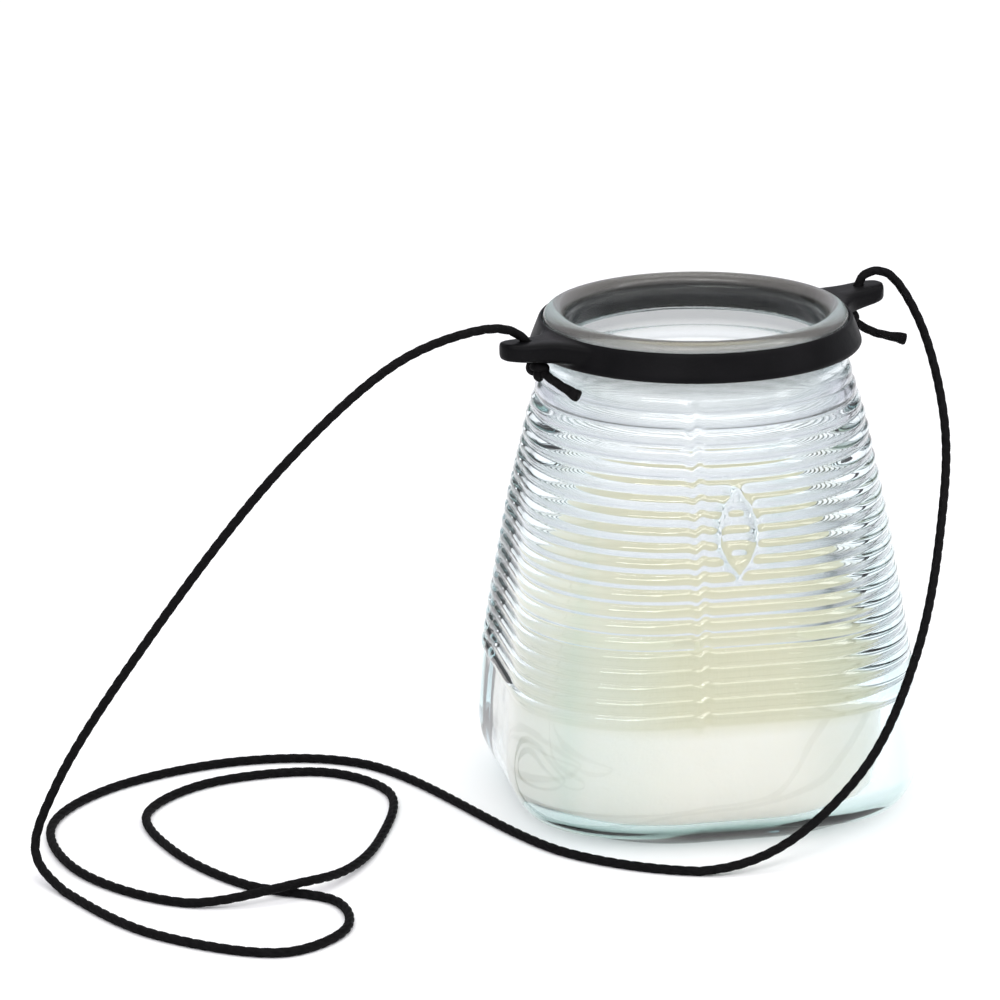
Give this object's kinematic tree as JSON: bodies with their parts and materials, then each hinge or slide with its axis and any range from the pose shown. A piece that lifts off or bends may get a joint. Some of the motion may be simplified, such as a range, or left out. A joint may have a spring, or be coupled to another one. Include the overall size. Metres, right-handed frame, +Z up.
{
  "type": "wasp trap",
  "caption": "Open ribbed glass jar with a lure filling, a turning rubber neck collar with lugs, and a thin cord knotted to the lugs for hanging it up.",
  "frame": {"origin": "centre of the jar's base, on the surface that it stands on", "axes": "+Z up along the jar's axis, -Y out of the jar's front face, +X to the right seen from the front"},
  "size_m": [0.2519, 0.1551, 0.1385],
  "materials": {
    "glass": "clear recycled glass, faintly green",
    "bait": "opaque cream filling with a waxy surface",
    "rubber": "satin black rubber",
    "cord": "waxed black cord"
  },
  "bodies": {
    "jar": {"glass_jar": "glass", "bait_fill": "bait"},
    "collar": {"neck_collar": "rubber", "cord": "cord", "left_knot": "cord", "right_knot": "cord", "left_tail": "cord", "right_tail": "cord"}
  },
  "joints": [
    {"name": "collar_turn", "type": "hinge", "parent": "jar", "child": "collar", "pos_m": [0, 0, 0.1285], "axis": [0, 0, 1], "continuous": true}
  ]
}
